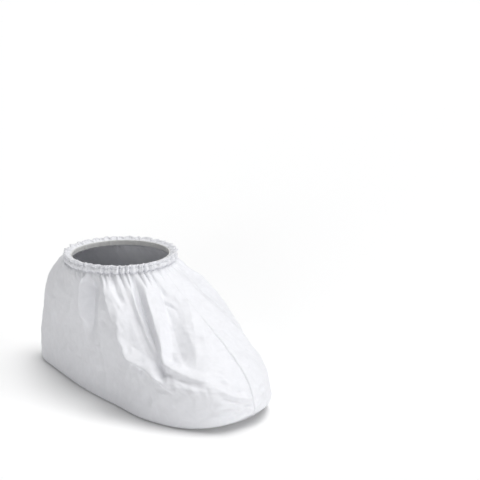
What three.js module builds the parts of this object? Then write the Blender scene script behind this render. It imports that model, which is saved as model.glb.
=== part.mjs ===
// Disposable shoe cover for a right foot, standing on its sole with the shape that it has when worn.
// Two side panels of thin cloth meet in a seam over the toe and another up the heel, a flat sole closes
// the bottom, and a puckered hem gathered by an elastic band rings the ankle opening.
// Millimetres. +X points to the toe, -Y to the outer side of the foot, +Z up.

import * as THREE from 'three';
import { mergeVertices } from 'three/addons/utils/BufferGeometryUtils.js';

/** Rows of a table as objects with one property for each named column. */
function table(columns, rows) {
  return rows.map((row) => Object.fromEntries(columns.map((column, i) => [column, row[i]])));
}

// ---- Driving dimensions ----

const clothThickness = 1.2;
const pieceGap = 0.3; // clearance that neighbouring pieces keep

// Plan of the sole: widths are measured from the centre line, out = outer side, in = inner side.
const sole = {
  length: 303,
  heelBack: 96, // from the ankle axis back to the heel
  heelOut: 33.5,
  heelIn: 38,
  waistOut: 53,
  waistIn: 40,
  ballOut: 69,
  ballIn: 58,
  toeShift: -4, // the tip of the toe lies this far off the centre line
  springHeight: 10, // the tip of the toe stands this far off the floor
  springLength: 60,
};

// The gathered ankle opening, an ellipse that rises a little toward the toe.
const ankle = { forward: 14, halfLength: 59, halfWidth: 51, height: 126, rise: 4.5 };

// Profile of the cloth from the sole edge up to the ankle ring, as the inner control points of a curve.
// station runs round the sole edge: 0 at the heel, 0.5 at the toe, outer side first.
// Rise is a height, bulge is how far the cloth stands outside the sole edge, and lean is the share of
// the way in from the sole edge to the ankle ring.
const profiles = table(
  ['station', 'lowRise', 'lowBulge', 'midLean', 'midRise', 'midBulge', 'topLean', 'topRise', 'topBulge'],
  [
    [0.0, 42, 0, 0.12, 76, 4, 0.47, 120, 6],
    [0.14, 42, 1, 0.1, 77, 3.5, 0.61, 118, 8],
    [0.3, 38, -1, 0.15, 61, 0, 0.6, 98, 5],
    [0.4, 36, 4, 0.05, 50, 3, 0.6, 86, 3],
    [0.5, 35, -2, 0.12, 49, 2, 0.58, 92, 1],
    [0.6, 41, 5, 0.06, 46, 2, 0.47, 93, 6],
    [0.7, 38, 4, 0.16, 62, 6, 0.63, 98, 8],
    [0.86, 42, 3, 0.1, 77, 7, 0.59, 121, 10],
  ],
);

// Folds that hang from the gathered ankle. Each line passes its top, middle and foot, given as a
// station round the cover and a level from 0 at the sole to 1 at the ankle. Height is out of the
// surface, so a groove is negative, and the fold reaches back toward the heel and on toward the toe.
const hangingFolds = table(
  ['name', 'top', 'foot', 'topAt', 'midAt', 'footAt', 'height', 'back', 'fore'],
  [
    ['outer heel groove', 1.06, 0.61, 0.13, 0.13, 0.126, -2.2, 16, 15],
    ['outer rear ridge', 1.08, 0.3, 0.275, 0.208, 0.212, 4.2, 13, 22],
    ['outer rear groove', 1.08, 0.32, 0.288, 0.253, 0.221, -5, 11, 13],
    ['outer instep ridge', 1.08, 0.37, 0.328, 0.298, 0.33, 8, 13, 27],
    ['outer instep groove', 0.9, 0.3, 0.352, 0.365, 0.384, -4, 11, 10],
    ['outer vamp groove', 1.08, 0.46, 0.412, 0.39, 0.379, -6, 9, 9],
    ['outer vamp ridge', 1.08, 0.28, 0.434, 0.403, 0.384, 6, 10, 25],
    ['outer toe hollow', 0.98, 0.4, 0.468, 0.436, 0.438, -4, 15, 19],
    ['inner toe ridge', 1.06, 0.36, 0.53, 0.552, 0.565, 2.5, 16, 14],
    ['inner vamp groove', 1.08, 0.34, 0.575, 0.596, 0.608, -5, 12, 10],
    ['inner vamp ridge', 1.08, 0.3, 0.6, 0.628, 0.645, 5.5, 10, 20],
    ['inner instep groove', 1.08, 0.36, 0.645, 0.668, 0.68, -5, 12, 10],
    ['inner instep ridge', 1.08, 0.3, 0.672, 0.698, 0.7, 6, 10, 26],
    ['inner rear groove', 1.08, 0.4, 0.735, 0.762, 0.782, -5, 12, 11],
    ['inner rear ridge', 1.08, 0.42, 0.76, 0.79, 0.806, 4, 11, 22],
    ['inner heel groove', 1.08, 0.62, 0.87, 0.88, 0.885, -2.6, 15, 14],
  ],
);

// Creases that run along the foot, where the vamp turns down into the side wall and round the toe.
// Each is given by stations and levels of its back end, middle and fore end, and reaches up and down.
const wallCreases = table(
  ['name', 'backAt', 'backUp', 'midUp', 'foreAt', 'foreUp', 'height', 'down', 'up'],
  [
    ['outer wall crease', 0.294, 0.54, 0.455, 0.392, 0.32, 5, 16, 22],
    ['outer shoulder', 0.372, 0.49, 0.44, 0.463, 0.35, 2, 10, 14],
    ['outer toe crease', 0.42, 0.3, 0.15, 0.497, 0.06, 2.8, 10, 18],
    ['outer toe tuck', 0.44, 0.13, 0.09, 0.498, 0.07, -1.6, 8, 8],
    ['inner wall crease', 0.57, 0.26, 0.29, 0.72, 0.42, 3.6, 14, 18],
    ['inner shoulder', 0.56, 0.36, 0.42, 0.66, 0.46, 1.8, 10, 14],
    ['inner toe tuck', 0.505, 0.08, 0.1, 0.56, 0.13, -1.8, 8, 8],
  ],
);

const foldFade = 0.3; // a fold rises and dies out over this share of its length
const drawnFlat = { from: 0.86, share: 0.72 }; // the elastic draws this much of the folds flat at the ankle

// Small gathers just under the ankle hem, from this level up, each as wide as this many mesh columns.
const gathers = { columns: 4, depth: 1.5, from: 0.84 };

const hem = { height: 7, thickness: 1.6, pleats: 40, pleatDepth: 1.2, flare: 1.2 };
const elastic = { height: 5, thickness: 1 };

// Columns of the side panels' meshes follow these folds, listed from the heel to the toe, with this many
// columns from each line to the one before it. The last line is the toe seam.
const outerGuides = table(
  ['fold', 'columns'],
  [
    ['outer rear ridge', 14],
    ['outer rear groove', 3],
    ['outer instep ridge', 9],
    ['outer instep groove', 6],
    ['outer vamp groove', 3],
    ['outer vamp ridge', 3],
    ['outer toe hollow', 6],
    ['toe seam', 12],
  ],
);
const innerGuides = table(
  ['fold', 'columns'],
  [
    ['inner rear ridge', 14],
    ['inner rear groove', 3],
    ['inner instep ridge', 7],
    ['inner instep groove', 4],
    ['inner vamp ridge', 4],
    ['inner vamp groove', 4],
    ['inner toe ridge', 6],
    ['toe seam', 14],
  ],
);

// Mesh densities.
const narrowestColumn = 0.0035; // as a share of the way round
const panelRows = 16;
const soleRungs = 34;
const soleColumns = 4;
const stepsPerPleat = 4;
const hemLevels = [0, 0.3, 0.65, 1];
const elasticSteps = 64;

const clothColour = 0xf1f2f5;
const soleColour = 0xe9eaee;
const elasticColour = 0xf5f5f3;

// ---- Plan curves ----

/** Sole edge as a closed smooth curve: heel, outer side, toe, inner side. */
function makeSoleCurve() {
  const { length, heelOut, heelIn, waistOut, waistIn, ballOut, ballIn, toeShift } = sole;
  const heel = -sole.heelBack;
  const rows = [
    { share: 0, y: 0 },
    { share: 0.045, y: -0.66 * heelOut },
    { share: 0.14, y: -heelOut },
    { share: 0.36, y: -waistOut },
    { share: 0.56, y: -0.5 * (waistOut + ballOut) - 2 },
    { share: 0.7, y: -ballOut },
    { share: 0.86, y: -0.87 * ballOut },
    { share: 0.965, y: -0.52 * ballOut + 0.6 * toeShift },
    { share: 1, y: toeShift },
    { share: 0.965, y: 0.5 * ballIn + 0.6 * toeShift },
    { share: 0.86, y: 0.86 * ballIn + 2 },
    { share: 0.7, y: ballIn },
    { share: 0.56, y: 0.5 * (waistIn + ballIn) + 2 },
    { share: 0.36, y: waistIn },
    { share: 0.14, y: heelIn },
    { share: 0.045, y: 0.66 * heelIn },
  ];
  const points = rows.map(({ share, y }) => new THREE.Vector3(heel + share * length, y, 0));
  const curve = new THREE.CatmullRomCurve3(points, true, 'catmullrom', 0.5);
  curve.arcLengthDivisions = 1600;
  return curve;
}

const soleCurve = makeSoleCurve();
const soleLengths = soleCurve.getLengths();
const toeShare = soleLengths[soleLengths.length >> 1] / soleLengths[soleLengths.length - 1];

/** Point of the sole edge at a station, with station 0.5 exactly at the tip of the toe. */
function soleEdge(station) {
  const s = station - Math.floor(station);
  const along = s < 0.5 ? 2 * s * toeShare : toeShare + (2 * s - 1) * (1 - toeShare);
  return soleCurve.getPointAt(Math.min(along, 1));
}

/** Outward normal of the sole edge, in plan. */
function soleOutward(station) {
  const step = 0.002;
  const run = soleEdge(station + step).sub(soleEdge(station - step)).normalize();
  return new THREE.Vector3(run.y, -run.x, 0);
}

/** Height of the sole's underside, which springs up under the toe. */
function springAt(x) {
  const start = sole.length - sole.heelBack - sole.springLength;
  const share = THREE.MathUtils.clamp((x - start) / sole.springLength, 0, 1);
  return sole.springHeight * share * share;
}

/** Point of the ankle ring at a station. */
function ankleRing(station) {
  const turn = 2 * Math.PI * station;
  return new THREE.Vector3(
    ankle.forward - ankle.halfLength * Math.cos(turn),
    -ankle.halfWidth * Math.sin(turn),
    ankle.height - ankle.rise * Math.cos(turn),
  );
}

// ---- Cloth surface ----

/** Smooth value of one column of the profile table at a station; the table closes on itself. */
function profileValue(column, station) {
  const s = station - Math.floor(station);
  const n = profiles.length;
  let k = n - 1;
  while (profiles[k].station > s) k -= 1;
  const at = (i) => profiles[((i % n) + n) % n].station + Math.floor(i / n);
  const value = (i) => profiles[((i % n) + n) % n][column];
  const slope = (i) => (value(i + 1) - value(i - 1)) / (at(i + 1) - at(i - 1));
  const span = at(k + 1) - at(k);
  const f = (s - at(k)) / span;
  const f2 = f * f;
  const f3 = f2 * f;
  return (
    (2 * f3 - 3 * f2 + 1) * value(k) +
    (f3 - 2 * f2 + f) * span * slope(k) +
    (3 * f2 - 2 * f3) * value(k + 1) +
    (f3 - f2) * span * slope(k + 1)
  );
}

/** Cloth without its folds: level 0 is the sole edge and level 1 the ankle ring. */
function smoothCloth(station, level) {
  const edge = soleEdge(station);
  const out = soleOutward(station);
  const ring = ankleRing(station);
  const lift = springAt(edge.x);
  const value = (column) => profileValue(column, station);
  const inner = (lean, rise, bulge) =>
    edge.clone().lerp(ring, lean).addScaledVector(out, bulge).setZ(rise);
  const midLean = value('midLean');
  const points = [
    edge.clone().setZ(lift + clothThickness + pieceGap),
    inner(0, lift + value('lowRise'), value('lowBulge')),
    inner(midLean, lift * (1 - midLean) + value('midRise'), value('midBulge')),
    inner(value('topLean'), value('topRise'), value('topBulge')),
    ring,
  ];
  const rest = 1 - level;
  const weights = [1, 4, 6, 4, 1].map((times, i) => times * rest ** (4 - i) * level ** i);
  const point = new THREE.Vector3();
  points.forEach((p, i) => point.addScaledVector(p, weights[i]));
  return point;
}

/** Height across a fold: a crisp crest that dies out smoothly at its reach on each side. */
function crest(distance, before, after) {
  const x = Math.abs(distance) / (distance < 0 ? before : after);
  return x < 1 ? (1 - x) ** 2 * (1 + x) : 0;
}

/** Value at share 0, 0.5 and 1 joined by one parabola. */
function through(start, middle, end, share) {
  const bow = 4 * middle - 2 * (start + end);
  return start + (end - start) * share + bow * share * (1 - share);
}

/** 0 to 1 and back to 0 along a fold. */
function fade(share) {
  const { smoothstep } = THREE.MathUtils;
  return smoothstep(share, 0, foldFade) * smoothstep(1 - share, 0, foldFade);
}

/** Stations, counted from the heel, of the lines that a panel's columns follow at a level. */
function guideStations(guides, level) {
  const stations = [0];
  for (const { fold: name, columns } of guides) {
    const fold = hangingFolds.find((row) => row.name === name);
    let station = 0.5;
    if (fold) {
      const share = THREE.MathUtils.clamp((level - fold.foot) / (fold.top - fold.foot), 0, 1);
      const line = through(fold.footAt, fold.midAt, fold.topAt, share);
      station = Math.min(line, 1 - line);
    }
    stations.push(Math.max(station, stations[stations.length - 1] + columns * narrowestColumn));
  }
  for (let i = guides.length; i > 0; i -= 1) {
    const most = i === guides.length ? 0.5 : stations[i + 1] - guides[i].columns * narrowestColumn;
    stations[i] = Math.min(stations[i], most);
  }
  return stations;
}

/** Stations of a panel's mesh columns at a level, which follow the folds. */
function columnStations(guides, level) {
  const lines = guideStations(guides, level);
  const stations = [0];
  guides.forEach(({ columns }, i) => {
    for (let k = 1; k <= columns; k += 1) stations.push(lines[i] + ((lines[i + 1] - lines[i]) * k) / columns);
  });
  return stations;
}

/** Number of mesh columns between the heel and a station, at a level. */
function columnsFromHeel(station, level) {
  const s = station - Math.floor(station);
  const fromHeel = Math.min(s, 1 - s);
  const stations = columnStations(s < 0.5 ? outerGuides : innerGuides, level);
  const k = stations.findLastIndex((at, i) => at <= fromHeel && i < stations.length - 1);
  return k + (fromHeel - stations[k]) / (stations[k + 1] - stations[k]);
}

/** How far the folds, creases and gathers lift the cloth at a place. */
function foldHeight(station, level) {
  const here = smoothCloth(station, level);
  const perStation = smoothCloth(station + 0.005, level).distanceTo(here) / 0.005;
  const perLevel = smoothCloth(station, level + 0.01).distanceTo(here) / 0.01;
  const { smoothstep } = THREE.MathUtils;
  let height = 0;
  for (const fold of hangingFolds) {
    const share = (level - fold.foot) / (fold.top - fold.foot);
    if (share <= 0 || share >= 1) continue;
    const line = through(fold.footAt, fold.midAt, fold.topAt, share);
    const distance = (station - line) * perStation;
    height += fold.height * crest(distance, fold.back, fold.fore) * fade(share);
  }
  height *= 1 - drawnFlat.share * smoothstep(level, drawnFlat.from, 1);
  for (const crease of wallCreases) {
    const share = (station - crease.backAt) / (crease.foreAt - crease.backAt);
    if (share <= 0 || share >= 1) continue;
    const line = through(crease.backUp, crease.midUp, crease.foreUp, share);
    const distance = (level - line) * perLevel;
    height += crease.height * crest(distance, crease.down, crease.up) * fade(share);
  }
  const gathered = smoothstep(level, gathers.from, 1);
  if (gathered === 0) return height;
  const turns = columnsFromHeel(station, level) / gathers.columns;
  return height + gathers.depth * gathered * Math.cos(2 * Math.PI * turns);
}

/** Outward normal of a surface given as a function of station and level. */
function normalOf(surface, station, level) {
  const round = 0.003;
  const up = 0.01;
  const across = surface(station + round, level).sub(surface(station - round, level));
  const rising = surface(station, Math.min(level + up, 1)).sub(surface(station, Math.max(level - up, 0)));
  return across.cross(rising).normalize();
}

/** Outer face of the folded cloth. At the sole and the ankle the folds move it sideways only. */
function foldedCloth(station, level) {
  const normal = normalOf(smoothCloth, station, level);
  const edgeShare = Math.min(1, Math.min(level, 1 - level) / 0.06);
  normal.z *= edgeShare;
  normal.normalize();
  return smoothCloth(station, level).addScaledVector(normal, foldHeight(station, level));
}

// ---- Meshes ----

/** The geometry without the triangles that have two corners on one vertex. */
function withoutSlivers(geometry) {
  const index = Array.from(geometry.index.array);
  const kept = [];
  for (let i = 0; i < index.length; i += 3) {
    const [a, b, c] = index.slice(i, i + 3);
    if (a !== b && b !== c && c !== a) kept.push(a, b, c);
  }
  geometry.setIndex(kept);
  geometry.computeVertexNormals();
  return geometry;
}

/** Closed mesh from rings of vertices: each ring is joined to the next, and caps close open ends. */
function meshFromRings(rings, closed) {
  const size = rings[0].length;
  const positions = rings.flat().flatMap((p) => [p.x, p.y, p.z]);
  const faces = [];
  const joins = closed ? rings.length : rings.length - 1;
  for (let i = 0; i < joins; i += 1) {
    const a = i * size;
    const b = ((i + 1) % rings.length) * size;
    for (let j = 0; j < size; j += 1) {
      const k = (j + 1) % size;
      faces.push(a + j, b + j, b + k, a + j, b + k, a + k);
    }
  }
  if (!closed) {
    const last = (rings.length - 1) * size;
    for (let j = 0; j < size / 2 - 1; j += 1) {
      const k = size - 1 - j;
      faces.push(j, j + 1, k, j + 1, k - 1, k);
      faces.push(last + j, last + k, last + j + 1, last + j + 1, last + k, last + k - 1);
    }
  }
  const loose = new THREE.BufferGeometry();
  loose.setAttribute('position', new THREE.Float32BufferAttribute(positions, 3));
  loose.setIndex(faces);
  return withoutSlivers(mergeVertices(loose, 1e-3));
}

/** Levels of the panel's rows, closer together near the sole edge and the ankle. */
function rowLevel(row) {
  const t = row / panelRows;
  return t - 0.06 * Math.sin(2 * Math.PI * t);
}

/** One side panel: a wall of cloth from one seam to the other, as a ring of vertices per column. */
function makePanel(isOuter) {
  const guides = isOuter ? outerGuides : innerGuides;
  const levels = Array.from({ length: panelRows + 1 }, (_, row) => rowLevel(row));
  const grid = levels.map((level) => columnStations(guides, level));
  const last = grid[0].length - 1;
  const rings = [];
  for (let column = 0; column <= last; column += 1) {
    const fromHeel = isOuter ? column : last - column;
    const outside = [];
    const inside = [];
    levels.forEach((level, row) => {
      const station = isOuter ? grid[row][fromHeel] : 1 - grid[row][fromHeel];
      const point = foldedCloth(station, level);
      const normal = normalOf(foldedCloth, station, level);
      if (row === 0 || row === panelRows) normal.setZ(0).normalize();
      const onward = foldedCloth(station + 0.003, level).sub(foldedCloth(station - 0.003, level));
      const seam = column === 0 ? 1 : column === last ? -1 : 0;
      point.addScaledVector(onward.normalize(), (seam * pieceGap) / 2);
      outside.push(point);
      inside.push(point.clone().addScaledVector(normal, -clothThickness));
    });
    rings.push([...outside, ...inside.reverse()]);
  }
  return meshFromRings(rings, false);
}

/** The sole: a thin plate of rungs that run from the outer edge across to the inner edge. */
function makeSole() {
  const rings = [];
  for (let rung = 0; rung <= soleRungs; rung += 1) {
    const station = (0.5 * rung) / soleRungs;
    const outer = soleEdge(station);
    const inner = soleEdge(1 - station);
    const top = [];
    const bottom = [];
    for (let column = 0; column <= soleColumns; column += 1) {
      const point = outer.clone().lerp(inner, column / soleColumns);
      point.z = springAt(point.x);
      bottom.push(point);
      top.push(point.clone().setZ(point.z + clothThickness));
    }
    rings.push([...top, ...bottom.reverse()]);
  }
  return meshFromRings(rings, false);
}

/** Place beside the ankle ring: out sideways from it, and up. */
function besideRing(station, out, up) {
  const step = 0.002;
  const run = ankleRing(station + step).sub(ankleRing(station - step));
  const outward = new THREE.Vector3(run.y, -run.x, 0).normalize();
  const point = ankleRing(station).addScaledVector(outward, out);
  point.z += up;
  return point;
}

/** How far the hem's outer face stands outside the ankle ring, at a share of the hem's height. */
function hemReach(station, share) {
  const puckers = hem.pleatDepth * Math.cos(2 * Math.PI * hem.pleats * station);
  const drawnIn = hem.flare * Math.sin(Math.PI * Math.min(1, 1.25 * share));
  const fromBelow = foldHeight(station, 1) * (1 - 0.6 * share);
  return fromBelow + puckers * (0.35 + 0.65 * share) - drawnIn + hem.flare * share;
}

/** The hem: a band of doubled cloth round the ankle, drawn in at its middle and ruffled at its edge. */
function makeHem() {
  const steps = hem.pleats * stepsPerPleat;
  const rings = [];
  for (let i = 0; i < steps; i += 1) {
    const station = i / steps;
    const outside = hemLevels.map((share) =>
      besideRing(station, hemReach(station, share), pieceGap + hem.height * share));
    const inside = hemLevels.map((share) =>
      besideRing(station, hemReach(station, share) - hem.thickness, pieceGap + hem.height * share));
    rings.push([...outside, ...inside.reverse()]);
  }
  return meshFromRings(rings, true);
}

/** The elastic band: it lies inside the hem and just clears the deepest pleats. */
function makeElastic() {
  const steps = hem.pleats * stepsPerPleat;
  let reach = Infinity;
  for (let i = 0; i < steps; i += 1) {
    for (const share of hemLevels) reach = Math.min(reach, hemReach(i / steps, share));
  }
  const outer = reach - hem.thickness - pieceGap;
  const inner = outer - elastic.thickness;
  const low = pieceGap + (hem.height - elastic.height) / 2;
  const high = low + elastic.height;
  const rings = [];
  for (let i = 0; i < elasticSteps; i += 1) {
    const station = i / elasticSteps;
    rings.push([
      besideRing(station, outer, low),
      besideRing(station, outer, high),
      besideRing(station, inner, high),
      besideRing(station, inner, low),
    ]);
  }
  return meshFromRings(rings, true);
}

// ---- Assembly ----

/** Named mesh with its own finish. */
function piece(name, geometry, colour, roughness) {
  const material = new THREE.MeshStandardMaterial({ color: colour, roughness, metalness: 0 });
  const mesh = new THREE.Mesh(geometry, material);
  mesh.name = name;
  return mesh;
}

const shoeCover = new THREE.Group();
shoeCover.add(
  piece('outer_side_panel', makePanel(true), clothColour, 0.6),
  piece('inner_side_panel', makePanel(false), clothColour, 0.6),
  piece('sole_panel', makeSole(), soleColour, 0.75),
  piece('ankle_hem', makeHem(), clothColour, 0.65),
  piece('ankle_elastic', makeElastic(), elasticColour, 0.85),
);

// The origin is the middle of the footprint, on the floor.
const extent = new THREE.Box3().setFromObject(shoeCover);
const middle = extent.getCenter(new THREE.Vector3());
for (const mesh of shoeCover.children) mesh.position.set(-middle.x, -middle.y, -extent.min.z);

export default shoeCover;
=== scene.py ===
"""Disposable shoe cover of crisp white nonwoven cloth, standing on a pale floor with nothing inside it.

The cloth is one surface over (station, level): station runs round the sole edge, 0 at the heel and 0.5 at
the tip of the toe with the outer side first, and level runs from 0 at the sole edge to 1 at the ankle ring.
Lengths are in millimetres until a mesh is made.
"""
import math

import bpy
import numpy as np
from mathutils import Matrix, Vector


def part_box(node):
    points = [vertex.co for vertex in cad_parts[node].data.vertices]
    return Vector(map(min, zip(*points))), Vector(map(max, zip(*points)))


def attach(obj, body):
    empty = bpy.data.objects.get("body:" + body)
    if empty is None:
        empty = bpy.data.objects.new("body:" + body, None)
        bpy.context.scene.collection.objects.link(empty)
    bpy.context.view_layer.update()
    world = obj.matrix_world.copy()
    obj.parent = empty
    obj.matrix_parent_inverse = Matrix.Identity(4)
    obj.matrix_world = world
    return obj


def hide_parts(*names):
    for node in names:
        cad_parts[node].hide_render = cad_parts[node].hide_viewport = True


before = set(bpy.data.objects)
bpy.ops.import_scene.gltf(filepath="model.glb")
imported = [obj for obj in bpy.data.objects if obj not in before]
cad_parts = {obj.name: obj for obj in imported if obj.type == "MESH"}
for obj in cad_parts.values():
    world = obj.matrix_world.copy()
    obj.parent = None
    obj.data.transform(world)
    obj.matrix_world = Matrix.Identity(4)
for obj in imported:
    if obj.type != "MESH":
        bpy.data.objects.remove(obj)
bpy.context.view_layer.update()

MM = 0.001
TAU = 2 * math.pi

# ---- Driving dimensions, the same as the CAD model's ----

SOLE = dict(
    length=303, heel_back=96, heel_out=33.5, heel_in=38, waist_out=53, waist_in=40,
    ball_out=69, ball_in=58, toe_shift=-4, spring_height=10, spring_length=60,
)
ANKLE = dict(forward=14, half_length=59, half_width=51, height=126, rise=4.5)
PROFILE_COLUMNS = (
    "station", "low_rise", "low_bulge", "mid_lean", "mid_rise", "mid_bulge", "top_lean", "top_rise", "top_bulge",
)
PROFILES = np.array([
    (0.0, 42, 0, 0.12, 76, 4, 0.47, 120, 6),
    (0.14, 42, 1, 0.1, 77, 3.5, 0.61, 118, 8),
    (0.3, 38, -1, 0.15, 61, 0, 0.6, 98, 5),
    (0.4, 36, 4, 0.05, 50, 3, 0.6, 86, 3),
    (0.5, 35, -2, 0.12, 49, 2, 0.58, 92, 1),
    (0.6, 41, 5, 0.06, 46, 2, 0.47, 93, 6),
    (0.7, 38, 4, 0.16, 62, 6, 0.63, 98, 8),
    (0.86, 42, 3, 0.1, 77, 7, 0.59, 121, 10),
])
EDGE_HEIGHT = 0.5  # of the lower edge of the cloth, over the underside of the sole
# How the lower edge of the cloth turns in under itself: higher and further round the tip of the toe.
CURL = dict(height=3.6, inward=2.2, toe_height=12, toe_inward=8, toe_at=0.525, toe_spread=0.05)

# Folds that hang from the ankle: the levels of their two ends, and the stations of their line at its top,
# middle and foot. Die out is the share of its length over which a fold fades at its foot. Height is out of
# the cloth; the flanks reach back toward the heel and fore to the toe.
FOLDS = [
    # name, top, foot, die out, at top, at middle, at foot, height, back, fore
    ("outer heel groove", 1.06, 0.61, 0.3, 0.13, 0.1295, 0.1244, -2.2, 16, 15),
    ("outer rear ridge", 1.08, 0.43, 0.3, 0.284, 0.2265, 0.2131, 9, 4, 20),
    ("outer rear groove", 1.08, 0.392, 0.3, 0.296, 0.242, 0.2108, -12.5, 8, 13),
    ("outer instep ridge", 1.08, 0.401, 0.1, 0.324, 0.3115, 0.3333, 8.5, 3.5, 26),
    ("outer instep dimple", 1.04, 0.806, 0.3, 0.337, 0.34, 0.3456, -3, 4, 6),
    ("outer instep lip", 0.84, 0.486, 0.3, 0.34, 0.3235, 0.3166, 2.6, 11, 10),
    ("outer instep groove", 0.88, 0.334, 0.25, 0.375, 0.368, 0.3843, -2.4, 9, 12),
    ("outer vamp sliver", 1.08, 0.672, 0.3, 0.395, 0.381, 0.3859, 2.4, 6, 4),
    ("outer vamp groove", 1.08, 0.559, 0.3, 0.418, 0.391, 0.386, -4.4, 6, 7),
    ("outer vamp ridge", 1.08, 0.333, 0.14, 0.43, 0.398, 0.3862, 5.5, 5.5, 18),
    ("outer gather edge", 1.04, 0.859, 0.3, 0.443, 0.4505, 0.4669, -2.4, 5, 4),
    ("outer toe hollow", 0.98, 0.48, 0.2, 0.474, 0.4275, 0.3958, -6.5, 9, 24),
    ("inner toe ridge", 1.06, 0.36, 0.3, 0.53, 0.552, 0.565, 2.5, 16, 12),
    ("inner vamp groove", 1.08, 0.34, 0.3, 0.575, 0.596, 0.608, -5, 12, 8),
    ("inner vamp ridge", 1.08, 0.3, 0.14, 0.6, 0.628, 0.645, 5.5, 8, 20),
    ("inner instep groove", 1.08, 0.36, 0.3, 0.645, 0.668, 0.68, -5, 10, 8),
    ("inner instep ridge", 1.08, 0.34, 0.14, 0.672, 0.698, 0.7, 6, 8, 26),
    ("inner instep lip", 0.92, 0.5, 0.3, 0.72, 0.728, 0.72, -1.6, 7, 5),
    ("inner rear groove", 1.08, 0.4, 0.3, 0.735, 0.762, 0.782, -5, 10, 9),
    ("inner rear ridge", 1.08, 0.42, 0.4, 0.76, 0.79, 0.806, 4, 8, 22),
    ("inner heel groove", 1.08, 0.62, 0.3, 0.87, 0.88, 0.885, -2.6, 14, 13),
]
# Creases along the foot: stations and levels of the back end, the middle and the fore end.
CREASES = [
    # name, back station and level, middle level, fore station and level, height, flank down, flank up
    ("outer wall crease", 0.3015, 0.524, 0.427, 0.3963, 0.309, 5, 4, 20),
    ("outer gather hook", 0.443, 0.876, 0.85, 0.467, 0.829, -2, 4, 4),
    ("outer shoulder", 0.3723, 0.561, 0.432, 0.4602, 0.314, 4.6, 8, 16),
    ("outer wall shelf", 0.3372, 0.411, 0.339, 0.4818, 0.215, 5.5, 36, 9),
    ("outer toe fan top", 0.446, 0.3, 0.2, 0.495, 0.14, 3.6, 4, 7),
    ("outer toe fan middle", 0.436, 0.2, 0.15, 0.493, 0.11, 3.2, 4, 6),
    ("outer toe fan low", 0.43, 0.1, 0.085, 0.49, 0.08, 2.8, 4, 5),
    ("outer toe tuck", 0.46, 0.06, 0.05, 0.498, 0.05, -1.4, 4, 4),
    ("inner wall crease", 0.57, 0.26, 0.29, 0.72, 0.42, 3.6, 14, 18),
    ("inner shoulder", 0.56, 0.36, 0.42, 0.66, 0.46, 1.8, 8, 14),
    ("inner toe tuck", 0.505, 0.08, 0.1, 0.56, 0.13, -1.8, 6, 6),
]
FOLD_FADE = 0.3  # share of its length over which a crease fades at its ends, and a fold at its top
CREST_SOFTNESS = 0.6  # how rounded their crests are
# Folds flatten toward the ankle, where the elastic draws the cloth in.
DRAWN_IN = dict(share=0.72, from_level=0.86)

# Puckers that the elastic draws in, as lobes of cloth with sharp valleys between them.
BIG_GATHERS = dict(count=50, height=3.6, down=17, seed=3)
SMALL_GATHERS = dict(count=104, height=1.4, down=7, seed=8)
# How far single lobes depart from the usual one, as shares of it, and their shape.
GATHER_SPREAD = dict(widths=(0.55, 1.45), heights=(0.5, 1.3), downs=(0.4, 1.5))
GATHER_LOBE = dict(roundness=0.6, middle=0.6, fade=0.8)
PINCH = dict(depth=1.2, down=2.0)  # the row of stitches that draws the cloth in below the hem
RUFFLE_WAVES = ((31, 0.8, 0.0), (53, 0.45, 1.3), (83, 0.2, 2.6))  # waves in the ring, height and phase
RUFFLE_WANDER = dict(size=0.004, waves=11)  # how far the waves stray from even spacing

# Short straight crinkles, scattered in patches: the middle of each patch and its half size along the foot
# and up, in millimetres, how many, and their usual length, width and height. Turn is the direction of the
# crinkles, in degrees from the line of the sole, and stray is how far they depart from it.
CRINKLES = [
    # name, station, level, half run, half rise, count, length, width, height, turn, stray
    ("all over outer", 0.25, 0.45, 170, 75, 60, 34, 7, 0.8, 60, 60),
    ("all over inner", 0.75, 0.45, 170, 75, 60, 34, 7, 0.8, -60, 60),
    ("outer wall streaks", 0.2, 0.5, 120, 50, 24, 52, 6, 0.7, 98, 15),
    ("inner wall streaks", 0.8, 0.5, 120, 50, 24, 52, 6, 0.7, 82, 15),
    ("outer vamp streaks", 0.44, 0.68, 38, 45, 26, 50, 4, 0.6, 80, 9),
    ("inner vamp streaks", 0.56, 0.68, 38, 45, 26, 50, 4, 0.6, 100, 9),
    ("small outer", 0.25, 0.45, 170, 75, 150, 16, 2.6, 0.45, 60, 70),
    ("small inner", 0.75, 0.45, 170, 75, 150, 16, 2.6, 0.45, -60, 70),
    ("outer fold edge", 0.324, 0.673, 10, 42, 50, 13, 2.4, 0.5, 80, 45),
    ("outer fold foot", 0.347, 0.477, 34, 12, 44, 13, 2.4, 0.55, 50, 35),
    ("outer shoulder", 0.419, 0.363, 34, 12, 34, 18, 2.4, 0.5, -25, 35),
    ("outer toe", 0.472, 0.14, 18, 12, 26, 20, 2.4, 0.9, -20, 12),
    ("inner toe", 0.53, 0.14, 18, 12, 22, 20, 2.4, 0.9, 20, 12),
    ("inner fold edge", 0.69, 0.66, 10, 42, 40, 13, 2.4, 0.5, -80, 45),
    ("inner fold foot", 0.67, 0.45, 34, 12, 40, 13, 2.4, 0.55, -50, 35),
]
CRINKLE_SEED = 21
# How far single crinkles depart from the usual ones, as shares of their sizes.
CRINKLE_SPREAD = dict(half_length=(0.5, 1.6), width=(0.6, 1.4), height=(0.3, 1.2))

# Crumple over the whole cloth: size of its cells, slope of their flanks, and seed.
CRUMPLES = ((42, 0.06, 11), (19, 0.06, 12), (8, 0.07, 13))
CELL = dict(repeat=64, origin=20, nearest=0.1, farthest=0.9, rounding=0.04, middle=0.5)
# Crinkles and crumples fade out at the cloth's lower edge, and by a share near the ankle.
CALM = dict(edge=0.06, share=0.6, from_level=0.9)
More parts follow.
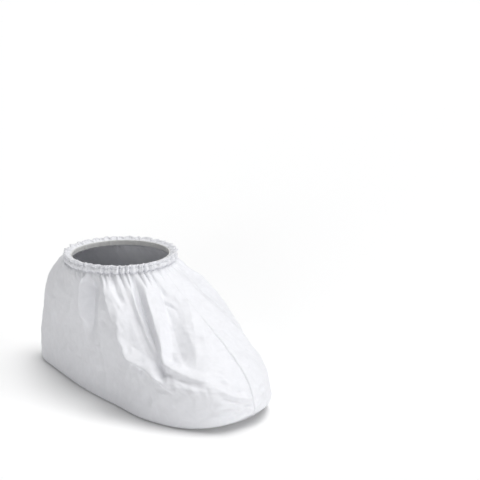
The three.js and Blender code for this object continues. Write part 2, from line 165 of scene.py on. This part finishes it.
# The seams over the toe and up the heel: their groove, which is fainter higher up, and the seam allowance
# that shows beside it.
SEAM = dict(depth=0.55, width=0.7, fade=0.8, fade_from=0.55, fade_to=0.8)
ALLOWANCE = dict(height=0.5, beside=1.8, width=1.2)

SKY = 0.18
LAMPS = [
    # name, azimuth, elevation, spread, strength
    ("top fore", 135, 72, 38, 1.53),
    ("top rear", 225, 72, 38, 1.03),
    ("key", 114, 8, 24, 1.22),
    ("fill", 30, 8, 24, 0.85),
]

CLOTH = 0.5  # shown thickness of the cloth
ELASTIC = dict(height=5, low=1.3, thickness=1, slack=0.2, ribs=7, steps=640)
RIB = dict(steps=6, roundness=0.6, base=0.25, height=0.4)  # the elastic's, on the side that faces the leg
STITCH = dict(zigzags=120, swing=1.7, radius=0.22, sides=6, steps=8, sharpness=0.96, proud=0.1)
# The hem's height waves as its edge ruffles, and a little more for itself.
HEM_WAVE = dict(height=0.4, waves=23, wander=0.3, wander_waves=7, from_ruffle=0.4, full=1.8)

# Mesh densities
PANEL_COLUMNS, PANEL_ROWS = 320, 144
PACKING = dict(steps=4001, reach=0.012, extra=3)  # rows and columns crowd near the panels' edges
# The panels' columns spread toward the toe, and lean as the folds do in the lower part.
COLUMNS = dict(spread=0.1, lean=0.07, lean_over=0.6)
HEM_STEPS, SOLE_STEPS = 1320, 400
SOLE_SHARES = (0.8, 0.6, 0.4, 0.2, 0.02)
SOLE_MIDDLE = dict(from_heel=20, from_toe=24)  # how far from its ends the sole's middle line stops
SOLE_CLEARANCE = 0.2  # between the sole and the curl of the cloth
EDGE_STEPS = 1600

# Small steps in station and level, for directions and lengths on the cloth
RUN_STEP, RATE_STEP, LEVEL_STEP = 0.002, 0.005, 0.01
SIDEWAYS_ONLY = 0.06  # share of the height, near each edge, where the folds turn to stand out level


# ---- Vectors and curves ----

def unit(v):
    return v / np.maximum(np.linalg.norm(v, axis=-1, keepdims=True), 1e-12)


def smoothstep(x, low, high):
    """0 below low, 1 above high, and smooth between them."""
    t = np.clip((x - low) / (high - low), 0, 1)
    return t * t * (3 - 2 * t)


def through(start, middle, end, share):
    """Parabola through three values, at shares 0, a half and 1."""
    return start + (end - start) * share + (4 * middle - 2 * (start + end)) * share * (1 - share)


# ---- Plan curves ----

def sole_points():
    """Control points of the sole edge: heel, outer side, toe, inner side."""
    d = SOLE
    out, inn, toe = d["ball_out"], d["ball_in"], d["toe_shift"]
    rows = [
        (0, 0), (0.045, -0.66 * d["heel_out"]), (0.14, -d["heel_out"]), (0.36, -d["waist_out"]),
        (0.56, -0.5 * (d["waist_out"] + out) - 2), (0.7, -out), (0.86, -0.87 * out),
        (0.965, -0.52 * out + 0.6 * toe), (1, toe), (0.965, 0.5 * inn + 0.6 * toe), (0.86, 0.86 * inn + 2),
        (0.7, inn), (0.56, 0.5 * (d["waist_in"] + inn) + 2), (0.36, d["waist_in"]), (0.14, d["heel_in"]),
        (0.045, 0.66 * d["heel_in"]),
    ]
    return np.array([(share * d["length"] - d["heel_back"], y) for share, y in rows], float)


def closed_curve(points, count):
    """Uniform Catmull-Rom curve through the points, closed, as count + 1 dense points."""
    n = len(points)
    t = np.linspace(0, n, count + 1)
    i = np.floor(t).astype(int)
    f = (t - i)[:, None]
    p0, p1, p2, p3 = (points[(i + k) % n] for k in (-1, 0, 1, 2))
    return 0.5 * (
        2 * p1 + (p2 - p0) * f + (2 * p0 - 5 * p1 + 4 * p2 - p3) * f**2 + (3 * p1 - p0 - 3 * p2 + p3) * f**3
    )


EDGE = closed_curve(sole_points(), EDGE_STEPS)
EDGE_RUN = np.concatenate([[0], np.cumsum(np.linalg.norm(np.diff(EDGE, axis=0), axis=1))])
EDGE_RUN /= EDGE_RUN[-1]
TOE_SHARE = EDGE_RUN[EDGE_STEPS // 2]

# From the cloth's own origin at the ankle axis to the part's origin.
sole_low, sole_high = np.array(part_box("sole_panel")) / MM
TO_PART = np.array([sole_low[0] - EDGE[:, 0].min(), sole_high[1] - EDGE[:, 1].max(), 0.0])


def sole_edge(station):
    """Points of the sole edge, with station 0.5 at the tip of the toe."""
    s = station % 1.0
    along = np.where(s < 0.5, 2 * s * TOE_SHARE, TOE_SHARE + (2 * s - 1) * (1 - TOE_SHARE))
    return np.stack([np.interp(along, EDGE_RUN, EDGE[:, k]) for k in (0, 1)], -1)


def spring(x):
    """Height of the sole's underside, which springs up under the toe."""
    start = SOLE["length"] - SOLE["heel_back"] - SOLE["spring_length"]
    return SOLE["spring_height"] * np.clip((x - start) / SOLE["spring_length"], 0, 1) ** 2


def outward(station):
    """Level direction out from the sole edge."""
    run = unit(sole_edge(station + RUN_STEP) - sole_edge(station - RUN_STEP))
    return np.stack([run[..., 1], -run[..., 0]], -1)


def ankle_ring(station):
    """Points of the line of stitches round the ankle."""
    turn = TAU * station
    return np.stack([
        ANKLE["forward"] - ANKLE["half_length"] * np.cos(turn),
        -ANKLE["half_width"] * np.sin(turn),
        ANKLE["height"] - ANKLE["rise"] * np.cos(turn),
    ], -1)


# ---- Cloth surface ----

def profile_value(name, station):
    """Smooth value of one column of the profile table; the table closes on itself."""
    at, y = PROFILES[:, 0], PROFILES[:, PROFILE_COLUMNS.index(name)]
    s = station % 1.0
    k = np.searchsorted(at, s, side="right") - 1
    wide_at = np.concatenate([[at[-1] - 1], at, [1.0]])
    wide_y = np.concatenate([[y[-1]], y, [y[0]]])
    slope = (wide_y[2:] - wide_y[:-2]) / (wide_at[2:] - wide_at[:-2])
    nxt = (k + 1) % len(at)
    span = np.where(nxt == 0, 1.0, at[nxt]) - at[k]
    f = (s - at[k]) / span
    return (
        (2 * f**3 - 3 * f**2 + 1) * y[k] + (f**3 - 2 * f**2 + f) * span * slope[k]
        + (3 * f**2 - 2 * f**3) * y[nxt] + (f**3 - f**2) * span * slope[nxt]
    )


def smooth_cloth(station, level):
    """The cloth without its folds."""
    edge, out, ring = sole_edge(station), outward(station), ankle_ring(station)
    lift = spring(edge[..., 0])

    def value(name):
        return profile_value(name, station)

    def control(lean, rise, bulge):
        flat = edge + (ring[..., :2] - edge) * lean[..., None] + out * bulge[..., None]
        return np.concatenate([flat, rise[..., None]], -1)

    zero, mid_lean = np.zeros_like(lift), value("mid_lean")
    points = [
        control(zero, lift + EDGE_HEIGHT, zero),
        control(zero, lift + value("low_rise"), value("low_bulge")),
        control(mid_lean, lift * (1 - mid_lean) + value("mid_rise"), value("mid_bulge")),
        control(value("top_lean"), value("top_rise"), value("top_bulge")),
        ring,
    ]
    t = level[..., None]
    return sum(c * (1 - t) ** (4 - i) * t**i * p for i, (c, p) in enumerate(zip((1, 4, 6, 4, 1), points)))


def crest(distance, before, after):
    """Height across a fold: a crisp crest with flat flanks."""
    softened = np.sqrt(distance**2 + CREST_SOFTNESS**2) - 0.5 * CREST_SOFTNESS
    return np.clip(1 - softened / np.where(distance < 0, before, after), 0, 1)


def fade(share, die_out=FOLD_FADE):
    """0 to 1 and back to 0 along a fold, which dies out over a share of its length."""
    return smoothstep(share, 0, die_out) * smoothstep(1 - share, 0, FOLD_FADE)


class Gathers:
    """Lobes of uneven width, height and length round the ankle."""

    def __init__(self, count, height, down, seed):
        dice = np.random.default_rng(seed)
        widths = dice.uniform(*GATHER_SPREAD["widths"], count)
        self.ends = np.concatenate([[0], np.cumsum(widths)]) / widths.sum()
        self.heights = height * dice.uniform(*GATHER_SPREAD["heights"], count)
        self.downs = down * dice.uniform(*GATHER_SPREAD["downs"], count)

    def height(self, station, below):
        """Lift of the cloth at a distance below the ankle ring."""
        s = station % 1.0
        k = np.clip(np.searchsorted(self.ends, s, side="right") - 1, 0, len(self.heights) - 1)
        t = (s - self.ends[k]) / (self.ends[k + 1] - self.ends[k])
        lobe = np.sin(math.pi * t) ** GATHER_LOBE["roundness"] - GATHER_LOBE["middle"]
        # neighbours share the valley between them, so their reach down blends there
        blend = 0.5 + 0.5 * np.cos(TAU * t)
        other = np.where(t < 0.5, k - 1, k + 1) % len(self.heights)
        reach = self.downs[k] * (1 - 0.5 * blend) + self.downs[other] * 0.5 * blend
        size = self.heights[k] * (1 - 0.5 * blend) + self.heights[other] * 0.5 * blend
        return size * lobe * np.clip(1 - below / reach, 0, 1) ** GATHER_LOBE["fade"]


BIG, SMALL = Gathers(**BIG_GATHERS), Gathers(**SMALL_GATHERS)


def ruffle_height(station):
    """Lift of the hem's loose edge."""
    turn = TAU * (station + RUFFLE_WANDER["size"] * np.sin(TAU * RUFFLE_WANDER["waves"] * station))
    return sum(height * np.sin(waves * turn + phase) for waves, height, phase in RUFFLE_WAVES)


def facets(points, cell, slope, seed):
    """Crumple of straight flanks, about one cell wide, that meet in crisp ridges."""
    n = CELL["repeat"]
    shift = np.random.default_rng(seed).uniform(CELL["nearest"], CELL["farthest"], (n, n, n, 3))
    at = points / cell + CELL["origin"]
    home = np.floor(at).astype(int)
    nearest = np.full(points.shape[:-1], np.inf)
    for step in np.ndindex(3, 3, 3):
        i = home + np.array(step) - 1
        away = at - i - shift[i[..., 0] % n, i[..., 1] % n, i[..., 2] % n]
        nearest = np.minimum(nearest, np.einsum("...k,...k->...", away, away))
    return slope * cell * (np.sqrt(nearest + CELL["rounding"]) - CELL["middle"])


def crinkle_height(station, level, per_station, per_level):
    """Lift of the short crinkles."""
    dice = np.random.default_rng(CRINKLE_SEED)
    height = np.zeros(station.shape)
    for _, at, up, half_run, half_rise, count, length, width, rise, turn, stray in CRINKLES:
        run = (station - at) * per_station
        climb = (level - up) * per_level
        for _ in range(count):
            x = run - half_run * dice.uniform(-1, 1)
            y = climb - half_rise * dice.uniform(-1, 1)
            angle = math.radians(turn + dice.uniform(-stray, stray))
            half = 0.5 * length * dice.uniform(*CRINKLE_SPREAD["half_length"])
            reach = width * dice.uniform(*CRINKLE_SPREAD["width"])
            lift = rise * dice.uniform(*CRINKLE_SPREAD["height"]) * dice.choice([-1, 1])
            along = (x * math.cos(angle) + y * math.sin(angle)) / half
            across = y * math.cos(angle) - x * math.sin(angle)
            near = (np.abs(along) < 1) & (np.abs(across) < reach)
            fade_out = (1 - along[near] ** 2) ** 2
            height[near] += lift * fade_out * np.clip(1 - np.abs(across[near]) / reach, 0, 1)
    return height


def curl_sizes(station):
    """Height and inward reach of the curl at the cloth's lower edge, larger round the tip of the toe."""
    toe = np.exp(-(((station % 1.0 - CURL["toe_at"]) / CURL["toe_spread"]) ** 2))
    height = CURL["height"] + (CURL["toe_height"] - CURL["height"]) * toe
    return height, CURL["inward"] + (CURL["toe_inward"] - CURL["inward"]) * toe


def fold_height(station, level, base):
    """How far the folds, creases, gathers, crinkles and crumples lift the cloth."""
    per_station = np.linalg.norm(smooth_cloth(station + RATE_STEP, level) - base, axis=-1) / RATE_STEP
    per_level = np.linalg.norm(smooth_cloth(station, level + LEVEL_STEP) - base, axis=-1) / LEVEL_STEP
    folds = np.zeros(station.shape)
    for _, top, foot, die_out, top_at, mid_at, foot_at, rise, back, fore in FOLDS:
        share = (level - foot) / (top - foot)
        line = through(foot_at, mid_at, top_at, share)
        folds += rise * crest((station - line) * per_station, back, fore) * fade(share, die_out)
    height = folds * (1 - DRAWN_IN["share"] * smoothstep(level, DRAWN_IN["from_level"], 1))
    for _, back_at, back_up, mid_up, fore_at, fore_up, rise, down, up in CREASES:
        share = (station - back_at) / (fore_at - back_at)
        line = through(back_up, mid_up, fore_up, share)
        height += rise * crest((level - line) * per_level, down, up) * fade(share)
    below = (1 - level) * per_level
    pinch = PINCH["depth"] * np.exp(-((below / PINCH["down"]) ** 2))
    height += BIG.height(station, below) + SMALL.height(station, below) - pinch
    calm = smoothstep(level, 0, CALM["edge"]) * (1 - CALM["share"] * smoothstep(level, CALM["from_level"], 1))
    crumple = sum(facets(base, *cells) for cells in CRUMPLES)
    height += calm * (crumple + crinkle_height(station, level, per_station, per_level))
    seam = ((station + 0.25) % 0.5 - 0.25) * per_station
    firm = 1 - SEAM["fade"] * smoothstep(level, SEAM["fade_from"], SEAM["fade_to"])
    groove = SEAM["depth"] * np.exp(-((seam / SEAM["width"]) ** 2))
    allowance = ALLOWANCE["height"] * np.exp(-(((seam - ALLOWANCE["beside"]) / ALLOWANCE["width"]) ** 2))
    curl_height, curl_inward = curl_sizes(station)
    corner = 1 - np.clip(level * per_level / curl_height, 0, 1)
    curl = curl_inward * (1 - np.sqrt(1 - corner**2))
    return height + firm * (allowance - groove) - curl


def folded_cloth(station, level):
    """Outer face of the cloth and its outward normal, on a grid of stations and levels."""
    base = smooth_cloth(station, level)
    across = smooth_cloth(station + RUN_STEP, level) - smooth_cloth(station - RUN_STEP, level)
    above, under = np.minimum(level + LEVEL_STEP, 1), np.maximum(level - LEVEL_STEP, 0)
    up = smooth_cloth(station, above) - smooth_cloth(station, under)
    normal = unit(np.cross(across, up))
    normal[..., 2] *= np.clip(np.minimum(level, 1 - level) / SIDEWAYS_ONLY, 0, 1)
    return base + unit(normal) * fold_height(station, level, base)[..., None]


def grid_normals(points):
    """Outward normals of a grid of points whose first axis runs up and second runs round."""
    return unit(np.cross(np.gradient(points, axis=1), np.gradient(points, axis=0)))


# ---- Meshes ----

def make_object(name, points, faces, material):
    """Smooth-shaded object in the part's frame, in metres."""
    mesh = bpy.data.meshes.new(name)
    mesh.from_pydata((points.reshape(-1, 3) + TO_PART) * MM, [], faces)
    mesh.validate()
    mesh.polygons.foreach_set("use_smooth", [True] * len(mesh.polygons))
    mesh.materials.append(material)
    mesh.update()
    piece = bpy.data.objects.new(name, mesh)
    bpy.context.scene.collection.objects.link(piece)
    return piece


def grid_faces(rows, columns, start=0, flip=False, closed=False):
    """Quads of a grid that is numbered row by row; closed joins its last column to its first."""
    j = np.arange(columns if closed else columns - 1)
    k = (j + 1) % columns
    faces = []
    for i in range(rows - 1):
        a, b = start + i * columns, start + (i + 1) * columns
        quad = np.stack([a + j, a + k, b + k, b + j], -1)
        faces.append(quad[:, ::-1] if flip else quad)
    return np.concatenate(faces)


def shell(name, outer, thickness, material):
    """Closed thin wall from a grid of points on its outer face."""
    rows, columns = outer.shape[:2]
    inner = outer - grid_normals(outer) * thickness
    size = rows * columns
    faces = [grid_faces(rows, columns), grid_faces(rows, columns, size, flip=True)]
    ring = np.concatenate([
        np.arange(columns),
        np.arange(2, rows) * columns - 1,
        np.arange(size - 1, size - columns - 1, -1),
        np.arange(rows - 2, 0, -1) * columns,
    ])
    after = np.roll(ring, -1)
    faces.append(np.stack([ring, ring + size, after + size, after], -1))
    return make_object(name, np.concatenate([outer.reshape(-1, 3), inner.reshape(-1, 3)]),
                       np.concatenate(faces).tolist(), material)


def packed(count):
    """Shares from 0 to 1 that stand closer together near the two ends."""
    t = np.linspace(0, 1, PACKING["steps"])
    extra, reach = PACKING["extra"], PACKING["reach"]
    density = 1 + extra * np.exp(-t / reach) + extra * np.exp(-(1 - t) / reach)
    run = np.concatenate([[0], np.cumsum(0.5 * (density[1:] + density[:-1]))])
    return np.interp(np.linspace(0, run[-1], count), run, t)


def make_panel(name, is_outer, material):
    """Wall of cloth of one side, from the heel seam to the toe seam."""
    share = packed(PANEL_COLUMNS)[None, :]
    level = packed(PANEL_ROWS)[:, None] * np.ones_like(share)
    share = share * np.ones_like(level)
    spread = share + COLUMNS["spread"] * np.sin(math.pi * share)
    below = np.minimum(1, (1 - level) / COLUMNS["lean_over"])
    from_heel = 0.5 * spread - COLUMNS["lean"] * np.sin(math.pi * spread) * np.sin(math.pi / 2 * below)
    station = from_heel if is_outer else 1 - from_heel[:, ::-1]
    return shell(name, folded_cloth(station, level), CLOTH, material)


# The rounded margin of the sole: how far in from the fold of the cloth, and height.
SOLE_MARGIN = ((0.9, 0.0), (0.2, 0.25), (0.0, 0.75), (0.2, 1.25), (0.9, 1.5))


def sole_ring(inset, height):
    """One turn round the sole, inside the curl of the cloth."""
    station = np.arange(SOLE_STEPS) / SOLE_STEPS
    _, curl_inward = curl_sizes(station)
    flat = sole_edge(station) - outward(station) * (curl_inward + SOLE_CLEARANCE + inset)[:, None]
    return np.concatenate([flat, (spring(flat[:, 0]) + height)[:, None]], -1)


def sole_face(ring, height):
    """Rings that close in on the sole's middle line."""
    rings = []
    heel, toe = ring[:, 0].min() + SOLE_MIDDLE["from_heel"], ring[:, 0].max() - SOLE_MIDDLE["from_toe"]
    x = np.clip(ring[:, 0], heel, toe)
    middle = np.stack([x, 0 * x], -1)
    for share in SOLE_SHARES:
        flat = middle + (ring[:, :2] - middle) * share
        rings.append(np.concatenate([flat, (spring(flat[:, 0]) + height)[:, None]], -1))
    return rings


def make_sole(material):
    """Thin plate with a rounded margin; it follows the toe spring."""
    rings = [sole_ring(inset, height) for inset, height in SOLE_MARGIN]
    bottom, top = sole_face(rings[0], SOLE_MARGIN[0][1]), sole_face(rings[-1], SOLE_MARGIN[-1][1])
    loops = np.stack([*bottom[::-1], *rings, *top])
    faces = grid_faces(len(loops), SOLE_STEPS, closed=True).tolist()
    last = (len(loops) - 1) * SOLE_STEPS
    for start, turn in ((0, 1), (last, -1)):
        # the smallest ring is closed across, from each of its sides to the other
        half = SOLE_STEPS // 2
        for k in range(half):
            a, b = start + k, start + k + 1
            c, d = start + (SOLE_STEPS - 1 - k), start + (SOLE_STEPS - k) % SOLE_STEPS
            quad = [a, d, c, b][::turn]
            corners = list(dict.fromkeys(quad))
            if len(corners) > 2:
                faces.append(corners)
    return make_object("sole", loops, faces, material)


def beside_ring(station, out, up):
    """Places beside the ankle ring: out sideways from it, and up."""
    run = unit(ankle_ring(station + RUN_STEP) - ankle_ring(station - RUN_STEP))
    sideways = unit(np.stack([run[..., 1], -run[..., 0], np.zeros_like(station)], -1))
    point = ankle_ring(station) + sideways * out[..., None]
    point[..., 2] += up
    return point


# The hem's cross-section, up its outer face: height over the ankle ring, how far out from it, how much of
# the panels' puckers it follows, and how much it ruffles. Its inner face then runs down to the elastic and
# behind it, with the distance out from the elastic.
HEM_OUTSIDE = [
    (-1.2, -0.5, 1.0, 0.0), (-0.4, -0.1, 1.0, 0.0), (0.3, 0.4, 1.0, 0.0), (0.9, 1.3, 0.95, 0.0),
    (1.6, 1.9, 0.9, 0.1), (2.4, 2.2, 0.85, 0.1), (3.3, 2.2, 0.85, 0.1), (4.1, 1.9, 0.9, 0.1), (4.8, 1.3, 0.95, 0.1),
    (5.3, 0.5, 1.0, 0.2), (5.8, 0.7, 0.9, 0.4), (6.5, 1.2, 0.8, 0.7), (7.3, 1.6, 0.7, 1.0), (8.2, 1.8, 0.6, 1.2),
]
HEM_INSIDE = [
    (8.3, 4.2, 0.6, 1.2), (7.6, 3.7, 0.8, 1.0), (7.0, 3.0, 0.9, 0.6), (6.6, 2.0, 0.7, 0.3), (6.4, 1.0, 0.4, 0.1),
    (6.3, 0.3, 0.1, 0.1), (3.8, 0.15, 0.0, 0.1), (1.3, 0.3, 0.0, 0.1), (0.2, 1.2, 0.5, 0.0),
]


def ring_mesh(name, loops, material):
    """Closed ring round the ankle from loops of points, each joined to the next and the last to the first."""
    steps = loops.shape[1]
    faces = grid_faces(len(loops), steps, closed=True)
    j = np.arange(steps)
    k = (j + 1) % steps
    last = (len(loops) - 1) * steps
    faces = np.concatenate([faces, np.stack([last + j, last + k, k, j], -1)])
    return make_object(name, loops, faces.tolist(), material)


def make_hem(material):
    """Gathered casing round the ankle with a ruffled edge."""
    station = np.linspace(0, 1, HEM_STEPS, endpoint=False)
    level = np.ones_like(station)
    pucker = fold_height(station, level, smooth_cloth(station, level))
    ruffle = ruffle_height(station)
    wander = HEM_WAVE["wander"] * np.sin(TAU * station * HEM_WAVE["wander_waves"])
    wave = HEM_WAVE["height"] * np.cos(TAU * (station * HEM_WAVE["waves"] + wander))
    loops = []
    for start, rows in ((0, HEM_OUTSIDE), (elastic_reach(), HEM_INSIDE)):
        for up, out, share, ruffled in rows:
            reach = start + out + pucker * share + ruffle * ruffled
            rise = up + (HEM_WAVE["from_ruffle"] * ruffle + wave) * ruffled / HEM_WAVE["full"]
            loops.append(beside_ring(station, reach, rise))
    return ring_mesh("ankle_hem_cloth", np.stack(loops), material)


def elastic_reach():
    """How far the outer face of the elastic lies outside the ankle ring; it lies inside, so below 0."""
    low, high = np.array(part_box("ankle_elastic")) / MM
    return 0.5 * (high[0] - low[0]) - ANKLE["half_length"]


def make_elastic(material):
    """Flat ribbed band inside the hem."""
    station = np.linspace(0, 1, ELASTIC["steps"], endpoint=False)
    slack = ELASTIC["slack"] * ruffle_height(station)
    outer = elastic_reach()
    climb = np.linspace(0, 1, RIB["steps"] * ELASTIC["ribs"] + 1)
    rib = np.abs(np.sin(math.pi * ELASTIC["ribs"] * climb)) ** RIB["roundness"]
    inside = outer - ELASTIC["thickness"] + RIB["base"] - RIB["height"] * rib
    outside = [beside_ring(station, outer + slack, ELASTIC["low"] + ELASTIC["height"] * t) for t in (0.04, 0.96)]
    within = [
        beside_ring(station, reach + slack, ELASTIC["low"] + ELASTIC["height"] * t)
        for reach, t in zip(inside[::-1], climb[::-1])
    ]
    return ring_mesh("ankle_elastic_band", np.stack([*outside, *within]), material)


def make_stitching(material):
    """Zigzag thread that holds the elastic to the hem, on the side that faces the leg."""
    turns, steps = STITCH["zigzags"], STITCH["steps"]
    t = np.arange(turns * steps) / (turns * steps)
    zigzag = 2 / math.pi * np.arcsin(STITCH["sharpness"] * np.sin(TAU * t * turns))
    middle = ELASTIC["low"] + 0.5 * ELASTIC["height"]
    reach = elastic_reach() - ELASTIC["thickness"] - STITCH["proud"] + ELASTIC["slack"] * ruffle_height(t)
    loops = []
    for side in range(STITCH["sides"]):
        turn = TAU * side / STITCH["sides"]
        out = reach + STITCH["radius"] * math.cos(turn)
        up = middle + STITCH["swing"] * zigzag + STITCH["radius"] * math.sin(turn)
        loops.append(beside_ring(t, out, up))
    return ring_mesh("elastic_stitching", np.stack(loops[::-1]), material)


# ---- Materials ----

CLOUDS = dict(scale=90, detail=3, distortion=1.5)
FIBRES = dict(scale=900, detail=4, distortion=3)
MOTTLING = ((0.3, 0.96), (0.7, 1.01))  # place on the ramp, and how much of the colour
FIBRE_BUMP = dict(Distance=0.0002, Strength=0.5)
WHITE = (0.765, 0.77, 0.80)


def cloth_material(name, colour, roughness):
    """Spun cloth: faint cloudy mottling, and fibres that catch the light."""
    material = bpy.data.materials.new(name)
    material.use_nodes = True
    tree = material.node_tree
    shader = tree.nodes["Principled BSDF"]
    shader.inputs["Roughness"].default_value = roughness
    place = tree.nodes.new("ShaderNodeTexCoord")

    def noise(scale, detail, distortion):
        node = tree.nodes.new("ShaderNodeTexNoise")
        node.inputs["Scale"].default_value = scale
        node.inputs["Detail"].default_value = detail
        node.inputs["Distortion"].default_value = distortion
        tree.links.new(place.outputs["Object"], node.inputs["Vector"])
        return node.outputs["Fac"]

    clouds, fibres = noise(**CLOUDS), noise(**FIBRES)
    ramp = tree.nodes.new("ShaderNodeValToRGB")
    for element, (position, share) in zip(ramp.color_ramp.elements, MOTTLING):
        element.position = position
        element.color = (*[c * share for c in colour], 1)
    tree.links.new(clouds, ramp.inputs["Fac"])
    tree.links.new(ramp.outputs["Color"], shader.inputs["Base Color"])
    bump = tree.nodes.new("ShaderNodeBump")
    for field, amount in FIBRE_BUMP.items():
        bump.inputs[field].default_value = amount
    tree.links.new(fibres, bump.inputs["Height"])
    tree.links.new(bump.outputs["Normal"], shader.inputs["Normal"])
    return material


cloth = cloth_material("nonwoven_cloth", WHITE, 0.55)
sole_cloth = cloth_material("sole_cloth", (0.72, 0.725, 0.74), 0.7)
hem_cloth = cloth_material("hem_cloth", WHITE, 0.6)
band = cloth_material("elastic_band", (0.8, 0.8, 0.79), 0.7)
thread = cloth_material("white_thread", (0.82, 0.82, 0.82), 0.6)

# ---- Pieces ----

outer_panel = make_panel("outer_side_cloth", True, cloth)
inner_panel = make_panel("inner_side_cloth", False, cloth)
sole = make_sole(sole_cloth)
hem = make_hem(hem_cloth)
elastic = make_elastic(band)
stitching = make_stitching(thread)
for piece, node, slot in (
    (outer_panel, "outer_side_panel", "nonwoven_cloth"),
    (inner_panel, "inner_side_panel", "nonwoven_cloth"),
    (sole, "sole_panel", "sole_cloth"),
    (hem, "ankle_hem", "hem_cloth"),
    (elastic, "ankle_elastic", "elastic"),
):
    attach(piece, "root")
    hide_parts(node)
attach(stitching, "root")

# ---- Floor, light and camera ----

FLOOR = 6  # half its side, in metres
floor_mesh = bpy.data.meshes.new("floor")
corners = [(-FLOOR, -FLOOR, 0), (FLOOR, -FLOOR, 0), (FLOOR, FLOOR, 0), (-FLOOR, FLOOR, 0)]
floor_mesh.from_pydata(corners, [], [(0, 1, 2, 3)])
floor = bpy.data.objects.new("floor", floor_mesh)
bpy.context.scene.collection.objects.link(floor)
floor_material = bpy.data.materials.new("floor")
floor_material.use_nodes = True
floor_shader = floor_material.node_tree.nodes["Principled BSDF"]
floor_shader.inputs["Base Color"].default_value = (0.96, 0.96, 0.96, 1)
floor_shader.inputs["Roughness"].default_value = 1.0
floor_shader.inputs["Specular IOR Level"].default_value = 0.0
floor_mesh.materials.append(floor_material)

world = bpy.data.worlds.new("studio")
bpy.context.scene.world = world
world.use_nodes = True
background = world.node_tree.nodes["Background"]
background.inputs["Color"].default_value = (1, 1, 1, 1)
background.inputs["Strength"].default_value = SKY


def back_vector(azimuth, elevation):
    """Direction from the object to a lamp or camera; azimuth 0 is the outer side, 90 the toe."""
    a, e = math.radians(azimuth), math.radians(elevation)
    return Vector((math.sin(a) * math.cos(e), -math.cos(a) * math.cos(e), math.sin(e)))


def soft_sun(name, azimuth, elevation, spread, strength):
    """Even lamp, as from a wide softbox; azimuth and elevation are where it stands, as a camera's are."""
    data = bpy.data.lights.new(name, "SUN")
    data.angle = math.radians(spread)
    data.energy = strength
    lamp = bpy.data.objects.new(name, data)
    bpy.context.scene.collection.objects.link(lamp)
    lamp.rotation_euler = back_vector(azimuth, elevation).to_track_quat("Z", "Y").to_euler()


for lamp in LAMPS:
    soft_sun(*lamp)

CAMERA = dict(azimuth=46, elevation=20.2, distance=3.0, view=0.4804)
SENSOR = 36
# The view's middle lies this far right of and above the subject, a point of the cloth's own frame.
SUBJECT = (70, 0, 60)
FRAMING = dict(right=0.0813, up=0.0931)

camera_data = bpy.data.cameras.new("camera")
camera_data.sensor_width = SENSOR
camera_data.lens = SENSOR * CAMERA["distance"] / CAMERA["view"]
camera = bpy.data.objects.new("camera", camera_data)
bpy.context.scene.collection.objects.link(camera)
back = back_vector(CAMERA["azimuth"], CAMERA["elevation"])
turned = math.radians(CAMERA["azimuth"])
right = Vector((math.cos(turned), math.sin(turned), 0))
up = back.cross(right)
subject = Vector((np.array(SUBJECT) + TO_PART) * MM)
camera.location = subject + back * CAMERA["distance"]
aim = subject + right * FRAMING["right"] + up * FRAMING["up"]
camera.rotation_euler = (aim - camera.location).to_track_quat("-Z", "Y").to_euler()
bpy.context.scene.camera = camera
bpy.context.scene.view_settings.view_transform = "Standard"
